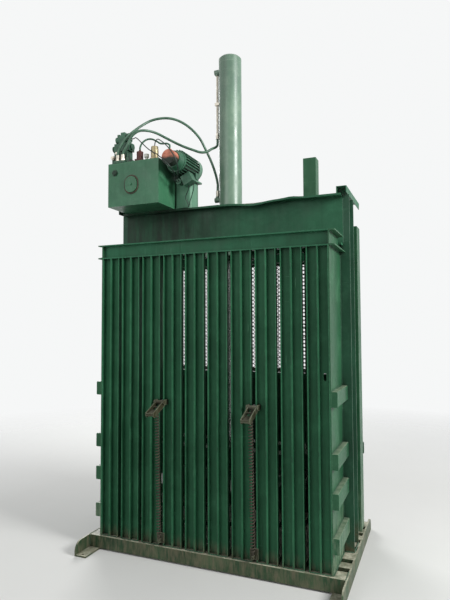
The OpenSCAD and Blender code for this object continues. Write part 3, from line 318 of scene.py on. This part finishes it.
def plain(name, base, dark, rough):
    """Rubber or moulded plastic with slight soiling."""
    t = Tree(name)
    t.link(t.mix(t.ramp(t.noise(26, 5), 0.35, 0.7), dark, base), t.bsdf.inputs["Base Color"])
    t.link(t.ramp(t.noise(40, 4), 0.3, 0.7, rough - 0.06, rough + 0.1), t.bsdf.inputs["Roughness"])
    t.bump(t.noise(260, 3), 0.12, 0.0004)
    return t.mat


# Finishes of the part
WALL = paint("wall_paint", srgb(46, 100, 70), srgb(35, 82, 56), srgb(62, 118, 86), grime=0.55, rust=0.06,
             wear=0.8, scratch=0.6, gloss=0.12, foot=0.20)
TOP = paint("top_channel_paint", srgb(44, 102, 72), srgb(34, 84, 58), srgb(64, 120, 92),
            grime=0.35, rust=0.08, dust=0.55, scratch=0.6, gloss=0.15, wear=0.8)
SIDE = paint("side_paint", srgb(40, 86, 58), srgb(32, 73, 48), srgb(64, 109, 79), grime=0.3, rust=0.05,
             dust=0.7, dust_col=PALE_DUST, scratch=0.7, wear=1.0, foot=0.55, foot_col=PALE_DUST)
COLUMN = paint("column_paint", srgb(44, 86, 64), srgb(32, 66, 48), srgb(64, 106, 82), grime=0.5, rust=0.10,
               rust_z=0.30, scratch=0.5)
BASE = paint("base_paint", srgb(54, 82, 56), srgb(40, 60, 40), srgb(96, 108, 78), grime=0.5, rust=0.03,
             dust=0.95, corner_shade=0.9, dust_col=SAND, wear=1.0, foot=0.16)
# The head beam's web is painted darker under the tank: the tank's painted shadow
HEAD = paint("head_beam_paint", srgb(46, 98, 70), srgb(36, 82, 58), srgb(62, 114, 86), grime=0.25, rust=0.05,
             dust=0.6, shadow_box=(-0.30, 0.15, 2.20, 2.42), gloss=0.15)
UNIT = paint("unit_paint", srgb(60, 114, 82), srgb(48, 98, 70), srgb(88, 136, 106), grime=0.3, rust=0.03,
             dust=0.35, rough=0.36, gloss=0.3)
# The pedestal has the unit's green painted lighter: painted light for the light from the right
PED_LIT = paint("pedestal_lit_paint", srgb(92, 138, 112), srgb(76, 118, 94), srgb(118, 158, 134),
            grime=0.35, rust=0.03, gloss=0.3)
CYL = paint("cylinder_paint", srgb(108, 136, 114), srgb(86, 114, 96), srgb(144, 164, 142),
            grime=0.55, rust=0.05, rough=0.34, gloss=0.6)
MOTOR = paint("motor_paint", srgb(52, 98, 74), srgb(34, 74, 54), srgb(92, 136, 110), grime=0.45, rust=0.03,
              corner_shade=0.9, gloss=0.4)
FAN = paint("fan_cover_paint", srgb(96, 138, 114), srgb(66, 104, 82), srgb(160, 184, 166),
            grime=0.3, rust=0.03, gloss=0.5)
# Dog: dark greenish-brown enamel, with painted shade at full strength in the corners inside its U
DOG = paint("dog_paint", srgb(56, 54, 38), srgb(30, 30, 20), srgb(126, 134, 110), grime=0.6, rust=0.30,
            wear=1.0, corner_shade=1.0, scratch=0.5)
PLUG = paint("level_plug_paint", srgb(36, 58, 44), srgb(22, 36, 28), srgb(70, 96, 78), grime=0.6, rust=0.1)
INNER = paint("door_paint", srgb(44, 84, 62), srgb(28, 60, 44), srgb(64, 104, 80), grime=0.7, rust=0.14,
              rust_z=0.35, scratch=0.6)
SEAL = plain("cover_seal", srgb(72, 62, 40), srgb(34, 34, 24), 0.6)
BEAD = paint("weld_paint", srgb(46, 90, 66), srgb(30, 62, 46), srgb(74, 112, 88),
             grime=0.4, rust=0.25, wear=0, dust=0.3, scratch=0)
STEEL = metal("bare_steel", (0.36, 0.36, 0.34), (0.16, 0.155, 0.145), 0.40, rust=0.20)
GATE = metal("gate_steel", (0.14, 0.15, 0.14), (0.07, 0.075, 0.07), 0.5, rust=0.45, metallic=0.7)
ROD = metal("polished_rod", (0.60, 0.60, 0.60), (0.42, 0.42, 0.41), 0.18)
SPRING = metal("spring_steel", (0.070, 0.056, 0.036), (0.024, 0.020, 0.013), 0.6, rust=0.10, metallic=0.2)
FITTING = metal("fitting_steel", (0.74, 0.69, 0.60), (0.46, 0.42, 0.35), 0.42, metallic=0.7)
HOSE = plain("hose_rubber", srgb(80, 118, 94), srgb(52, 82, 64), 0.38)
LEAD = plain("lead_rubber", srgb(34, 52, 44), srgb(18, 28, 24), 0.5)
# The pump is darker towards its bottom, from 3.058 down to 3.034
PUMP = paint("pump_paint", srgb(204, 128, 104), srgb(160, 96, 76), srgb(222, 158, 134), grime=0.4, rust=0.15,
             wear=0.2, darker_below=(3.058, 3.034, BOTTOM_DARK))
BRASS = metal("filter_brass", (0.42, 0.36, 0.22), (0.20, 0.17, 0.10), 0.42)
VALVE_RED = paint("valve_red_paint", srgb(112, 62, 58), srgb(70, 40, 38), srgb(140, 90, 84), grime=0.4)
WHITE = plain("white_plastic", srgb(226, 228, 220), srgb(180, 182, 172), 0.45)
GREY = paint("control_box_paint", srgb(128, 134, 128), srgb(100, 106, 100), srgb(154, 158, 152), grime=0.3)
B_GREEN = plain("button_green", srgb(20, 120, 50), srgb(14, 86, 36), 0.3)
B_WHITE = plain("button_white", srgb(226, 226, 222), srgb(190, 190, 184), 0.3)
B_RED = plain("button_red", srgb(190, 24, 20), srgb(140, 16, 14), 0.3)

# The CAD nodes that each finish is for
LOOKS = {
    WALL: ["rear_panels"],
    TOP: ["rear_top_channel", "front_header", "sill_beam"],
    SIDE: ["side_top_channels", "side_plate_left", "side_plate_right", "side_ribs_left", "side_ribs_right",
           "front_post_left", "front_post_right", "guide_posts"],
    COLUMN: ["column_left", "column_right"],
    BASE: ["skid_left", "skid_right", "base_members", "floor_channels"],
    HEAD: ["head_beam_rear", "head_beam_front", "side_headers", "guide_sleeves"],
    UNIT: ["oil_tank", "tank_lid", "access_cover"],
    PED_LIT: ["motor_pedestal"],
    CYL: ["cylinder_barrel", "cylinder_head", "cylinder_cap"],
    MOTOR: ["motor", "valve_stack", "conduit_box", "small_pipes"],
    FAN: ["fan_cover"],
    INNER: ["lower_door", "platen"],
    STEEL: ["cylinder_bolts", "lock_collar", "lock_screw", "door_hinges", "gate_guides"],
    FITTING: ["hydraulic_fittings"],
    PLUG: ["level_plug"],
    GATE: ["feed_gate"],
    ROD: ["piston_rod"],
    DOG: ["bale_dog_left", "bale_dog_right", "dog_brackets"],
    SPRING: ["dog_spring_left", "dog_spring_right"],
    HOSE: ["main_hoses"],
    LEAD: ["motor_leads"],
    PUMP: ["pump"],
    BRASS: ["return_filter"],
    VALVE_RED: ["relief_valve"],
    WHITE: ["filler_cap"],
    GREY: ["control_box"],
    B_GREEN: ["button_up"],
    B_WHITE: ["button_down"],
    B_RED: ["button_stop"],
}
for material, names in LOOKS.items():
    for name in names:
        for s in NODES[name].material_slots:
            s.material = material

# Pieces added to the CAD nodes
random.seed(4)


def piece(name, verts, faces, material, body, smooth=True):
    """A mesh in the part's frame. It rides a body, or stays free."""
    me = bpy.data.meshes.new(name)
    me.from_pydata([tuple(v) for v in verts], [], faces)
    me.materials.append(material)
    if smooth:
        me.polygons.foreach_set("use_smooth", [True] * len(me.polygons))
    o = bpy.data.objects.new(name, me)
    bpy.context.collection.objects.link(o)
    if body:
        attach(o, body)
    return o


def tube(verts, faces, pts, radii, sides):
    """Adds a round section swept along pts, closed at both ends. Its frame is carried from ring to ring."""
    start = len(verts)
    t0 = (pts[1] - pts[0]).normalized()
    s = t0.cross(Vector((0, 0, 1)) if abs(t0.z) < 0.9 else Vector((0, 1, 0))).normalized()
    for i, p in enumerate(pts):
        t = (pts[min(i + 1, len(pts) - 1)] - pts[max(i - 1, 0)]).normalized()
        s = (s - t * s.dot(t)).normalized()
        b = t.cross(s)
        for k in range(sides):
            a = 2 * math.pi * k / sides
            verts.append(p + (s * math.cos(a) + b * math.sin(a)) * radii[i])
    for i in range(len(pts) - 1):
        for k in range(sides):
            a = start + i * sides + k
            b2 = start + i * sides + (k + 1) % sides
            faces.append((a, b2, b2 + sides, a + sides))
    faces.append(tuple(start + k for k in reversed(range(sides))))
    faces.append(tuple(start + (len(pts) - 1) * sides + k for k in range(sides)))


# Weld beads: rippled runs in the corners between plates
BEAD_R, WIDE, STEP = 0.0038, 0.005, 0.007
WOBBLE, TAPER, RIPPLE = 0.12, 0.45, 0.84
CHANNEL, SLOT, PANELS, WALL_HALF = 0.076, 0.032, 10, 0.904
PANEL_PITCH = 2 * CHANNEL + SLOT
PLATE_X, WALL_Y, COL_Y1, COL_Y2, POST_Y = 0.912, -0.495, -0.085, 0.115, 0.470
BASE_Z, CAP_Z, BEAM_X, SKID_X, SKID_Y = 0.107, 2.274, 0.936, 0.9925, -0.382
RIB_ZS, RIB_HALF = (0.296, 0.582, 0.838, 1.245), 0.053
COL_Z0, COL_Z1, BEAM_Z0, BEAM_Z1, POST_Z0, POST_Z1 = 0.12, 2.26, 2.335, 2.69, 2.28, 2.53
STITCHES, STITCH_Z, STITCH_GAP = 7, 0.20, 0.32
PED_W, PED_R = 0.152, 0.025
bead_v, bead_f = [], []


def bead(a, b, r=BEAD_R):
    """One run of weld from a to b."""
    a, b = Vector(a), Vector(b)
    n = max(2, int((b - a).length / STEP))
    pts, radii = [], []
    for i in range(n + 1):
        j = Vector([random.uniform(-1, 1) * r * WOBBLE for _ in range(3)])
        pts.append(a.lerp(b, i / n) + j)
        end = TAPER if i in (0, n) else 1.0
        radii.append(r * end * (1.0 if i % 2 else RIPPLE) * random.uniform(0.92, 1.08))
    tube(bead_v, bead_f, pts, radii, 6)


def side_beads(sx):
    """Beads along the ribs, column, plate, beam ends, front post and skid of one side."""
    x = sx * PLATE_X
    near, out = x + sx * 0.001, x + sx * 0.002
    for zc in RIB_ZS:
        for dz in (-RIB_HALF, RIB_HALF):
            bead((near, WALL_Y + 0.01, zc + dz), (near, COL_Y1 - 0.012, zc + dz))
        bead((x + sx * 0.02, COL_Y1 - 0.001, zc - 0.045), (x + sx * 0.02, COL_Y1 - 0.001, zc + 0.045))
    for y in (COL_Y1 - 0.002, COL_Y2 + 0.002):
        bead((near, y, COL_Z0), (near, y, COL_Z1))
    bead((out, WALL_Y + 0.01, BASE_Z), (out, COL_Y1 - 0.01, BASE_Z), WIDE)
    bead((out, WALL_Y + 0.01, CAP_Z), (out, COL_Y1 - 0.01, CAP_Z))
    for y in (COL_Y1 + 0.001, COL_Y2 - 0.001):
        bead((sx * BEAM_X, y, BEAM_Z0), (sx * BEAM_X, y, BEAM_Z1), WIDE)
    bead((sx * 0.915, COL_Y1 - 0.002, BASE_Z), (sx * 0.980, COL_Y1 - 0.002, BASE_Z), WIDE)
    bead((sx * 0.984, COL_Y1 + 0.002, BASE_Z), (sx * 0.984, COL_Y2 - 0.002, BASE_Z), WIDE)
    bead((sx * 0.908, POST_Y - 0.002, BASE_Z), (sx * 0.976, POST_Y - 0.002, BASE_Z), WIDE)
    bead((sx * 0.9045, POST_Y - 0.052, POST_Z0), (sx * 0.9045, POST_Y - 0.052, POST_Z1))
    for y in (WALL_Y - 0.019, SKID_Y):
        bead((sx * SKID_X, y, 0.02), (sx * SKID_X, y, 0.098), WIDE)
    bead((sx * SKID_X, WALL_Y - 0.018, 0.1045), (sx * SKID_X, SKID_Y - 0.002, 0.1045), 0.004)


def panel_beads(xc):
    """Stitches between the two channels of a wall panel, and a bead at its foot."""
    for k in range(STITCHES):
        z = STITCH_Z + k * STITCH_GAP + random.uniform(-0.03, 0.03)
        bead((xc, WALL_Y + 0.0005, z), (xc, WALL_Y + 0.0005, z + random.uniform(0.035, 0.055)), 0.003)
    bead((xc - 0.072, WALL_Y + 0.001, 0.1065), (xc + 0.072, WALL_Y + 0.001, 0.1065), 0.0045)


def pedestal_beads():
    """Beads at the foot of the motor pedestal, along its rear and right sides."""
    x, y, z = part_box("motor_pedestal")[0]
    z += 0.0015
    bead((x + PED_R, y - 0.001, z), (x + PED_W - PED_R, y - 0.001, z))
    bead((x + PED_W + 0.0005, y + PED_R, z), (x + PED_W + 0.0005, y + PED_W - PED_R, z))


for sx in (-1, 1):
    side_beads(sx)
for i in range(PANELS):
    panel_beads(i * PANEL_PITCH - WALL_HALF + CHANNEL)
pedestal_beads()
piece("weld_beads", bead_v, bead_f, BEAD, "frame")

# Expanded metal sheet inside the feed gate's frame
GATE_X, GATE_Z0, GATE_Z1, GATE_Y = 0.828, 1.364, 2.261, 0.440
LONG, SHORT, STRAND, THICK, TILT = 0.040, 0.0165, 0.0056, 0.0016, 0.0009
cols, rows = int(2 * GATE_X / LONG), int((GATE_Z1 - GATE_Z0) / SHORT)
lx, lz = 2 * GATE_X / cols, (GATE_Z1 - GATE_Z0) / rows
gv, gf = [], []


def strand(x0, z0, x1, z1):
    """One slanted bar of the mesh."""
    d = Vector((x1 - x0, 0, z1 - z0)).normalized()
    nrm = Vector((-d.z, 0, d.x)) * STRAND / 2
    k = len(gv)
    for x, z in ((x0, z0), (x1, z1)):
        for sn in (-1, 1):
            for y in (-THICK, THICK):
                gv.append(Vector((x, GATE_Y + y + sn * TILT, z)) + nrm * sn)
    gf.extend([(k, k + 1, k + 5, k + 4), (k + 1, k + 3, k + 7, k + 5), (k + 3, k + 2, k + 6, k + 7),
               (k + 2, k, k + 4, k + 6)])


for r in range(rows):
    for c in range(cols):
        x0, z0 = -GATE_X + c * lx, GATE_Z0 + r * lz
        if r % 2:
            strand(x0, z0, x0 + lx / 2, z0 + lz)
            strand(x0 + lx / 2, z0 + lz, x0 + lx, z0)
        else:
            strand(x0, z0 + lz, x0 + lx / 2, z0)
            strand(x0 + lx / 2, z0, x0 + lx, z0 + lz)
piece("gate_mesh", gv, gf, GATE, "feed_gate", smooth=False)

# Round-wire dog springs from their wall seats up to the dogs
DOG_X, SEAT_Y, EYE_Y = 0.368, -0.524, -0.560
HOOK, WIRE_R, COIL_R, TURNS, TURN_PTS, WIRE_SIDES = 0.016, 0.0041, 0.0139, 44, 14, 7


def dog_spring(side_name, sx):
    """One spring from its seat on the wall to the cross rod in the dog."""
    lo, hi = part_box("dog_spring_" + side_name)
    foot = Vector((sx * DOG_X, SEAT_Y, lo[2]))
    head = Vector((sx * DOG_X, EYE_Y, hi[2]))
    axis = (head - foot).normalized()
    across = Vector((1, 0, 0))
    u = axis.cross(across).normalized()
    length = (head - foot).length
    steps = TURNS * TURN_PTS
    pts = [foot, foot + axis * HOOK * 0.5]
    for i in range(steps + 1):
        a = 2 * math.pi * i / TURN_PTS
        grow = min(1, min(i, steps - i) / TURN_PTS)
        pts.append(foot + axis * (HOOK + (length - 2 * HOOK) * i / steps)
                   + (across * math.cos(a) + u * math.sin(a)) * COIL_R * grow)
    pts += [head - axis * HOOK * 0.5, head]
    sv, sf = [], []
    tube(sv, sf, pts, [WIRE_R] * len(pts), WIRE_SIDES)
    coil = piece("fine_spring_" + side_name, sv, sf, SPRING, None)
    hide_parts("dog_spring_" + side_name)
    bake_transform(coil)


dog_spring("left", -1)
dog_spring("right", 1)

# Seal round the access cover
COVER_X, COVER_Z = -0.678, 2.872
SEAL_R, SEAL_FLAT, SEAL_PTS = 0.0655, 0.012, 64
SEAL_SECTION = ((-0.4349, 1.0), (-0.4404, 1.0), (-0.4404, 0.83), (-0.4362, 0.83))


def seal_ring():
    """A ring, longer than wide, made of the four y and size steps of SEAL_SECTION."""
    cv, cf, ring = [], [], []
    for k in range(SEAL_PTS):
        a = 2 * math.pi * k / SEAL_PTS
        flat = SEAL_FLAT if math.sin(a) > 0 else -SEAL_FLAT
        ring.append((SEAL_R * math.cos(a), SEAL_R * math.sin(a) + flat))
    for y, grow in SEAL_SECTION:
        cv += [Vector((COVER_X + px * grow, y, COVER_Z + pz * grow)) for px, pz in ring]
    for j in range(len(SEAL_SECTION) - 1):
        for k in range(SEAL_PTS):
            a, b = j * SEAL_PTS + k, j * SEAL_PTS + (k + 1) % SEAL_PTS
            cf.append((a, b, b + SEAL_PTS, a + SEAL_PTS))
    piece("cover_seal_ring", cv, cf, SEAL, "frame")


seal_ring()

# Smooth round hoses, pipes and leads
JOIN_WITHIN = 0.0002
for name in ("main_hoses", "small_pipes", "motor_leads"):
    o = NODES[name]
    w = o.modifiers.new("weld", "WELD")
    w.merge_threshold = JOIN_WITHIN
    d = o.modifiers.new("round", "SUBSURF")
    d.levels = 1
    d.render_levels = 1
    o.data.polygons.foreach_set("use_smooth", [True] * len(o.data.polygons))

# Stage and light
FLOOR_HALF, FLOOR_COL = 30, (0.62, 0.62, 0.60)
FADE_FROM, FADE_TO = 2.4, 7.5
WORLD_LIGHT, BACKGROUND = (0.42, 0.43, 0.44, 1), (0.92, 0.93, 0.93, 1)


def pale_floor():
    """A plain floor that fades out with the distance from the part."""
    t = Tree("floor_surface")
    dim = tuple(c * 0.97 for c in FLOOR_COL)
    t.link(t.mix(t.ramp(t.noise(0.8, 4), 0.3, 0.7), dim, FLOOR_COL), t.bsdf.inputs["Base Color"])
    t.bsdf.inputs["Roughness"].default_value = 0.85
    flat = t.nt.nodes.new("ShaderNodeVectorMath")
    flat.operation = "LENGTH"
    t.link(t.co, flat.inputs[0])
    clear = t.nt.nodes.new("ShaderNodeBsdfTransparent")
    fade = t.nt.nodes.new("ShaderNodeMixShader")
    t.link(t.ramp(flat.outputs["Value"], FADE_FROM, FADE_TO), fade.inputs[0])
    t.link(t.bsdf.outputs[0], fade.inputs[1])
    t.link(clear.outputs[0], fade.inputs[2])
    t.link(fade.outputs[0], t.out.inputs[0])
    me = bpy.data.meshes.new("floor")
    h = FLOOR_HALF
    me.from_pydata([(-h, -h, 0), (h, -h, 0), (h, h, 0), (-h, h, 0)], [], [(0, 1, 2, 3)])
    me.materials.append(t.mat)
    o = bpy.data.objects.new("floor", me)
    bpy.context.collection.objects.link(o)


def pale_world():
    """A world that lights dimly and looks pale to camera, glossy and transmission rays."""
    world = bpy.data.worlds.new("studio")
    world.use_nodes = True
    bpy.context.scene.world = world
    nt = world.node_tree
    rays = nt.nodes.new("ShaderNodeLightPath").outputs
    seen = rays["Is Camera Ray"]
    for ray in ("Is Glossy Ray", "Is Transmission Ray"):
        either = nt.nodes.new("ShaderNodeMath")
        either.operation = "MAXIMUM"
        nt.links.new(seen, either.inputs[0])
        nt.links.new(rays[ray], either.inputs[1])
        seen = either.outputs[0]
    pick = nt.nodes.new("ShaderNodeMix")
    pick.data_type = "RGBA"
    pick.inputs[6].default_value = WORLD_LIGHT
    pick.inputs[7].default_value = BACKGROUND
    nt.links.new(seen, pick.inputs[0])
    nt.links.new(pick.outputs[2], nt.nodes["Background"].inputs[0])


def area_light(name, at, to, size, watts):
    """A square lamp at one point that looks at another."""
    d = bpy.data.lights.new(name, "AREA")
    d.energy = watts
    d.size = size
    o = bpy.data.objects.new(name, d)
    o.location = at
    o.rotation_euler = (Vector(to) - Vector(at)).to_track_quat("-Z", "Y").to_euler()
    bpy.context.collection.objects.link(o)


pale_floor()
pale_world()
area_light("key_right", (7.0, -1.6, 5.2), (0, 0, 2.0), 2.4, 700)
area_light("fill_rear", (-2.5, -6.5, 4.5), (0, 0, 2.0), 4.0, 110)
area_light("fill_front", (-4.5, 6.0, 5.0), (0, 0, 1.8), 4.0, 380)

bpy.context.scene.view_settings.view_transform = "Standard"
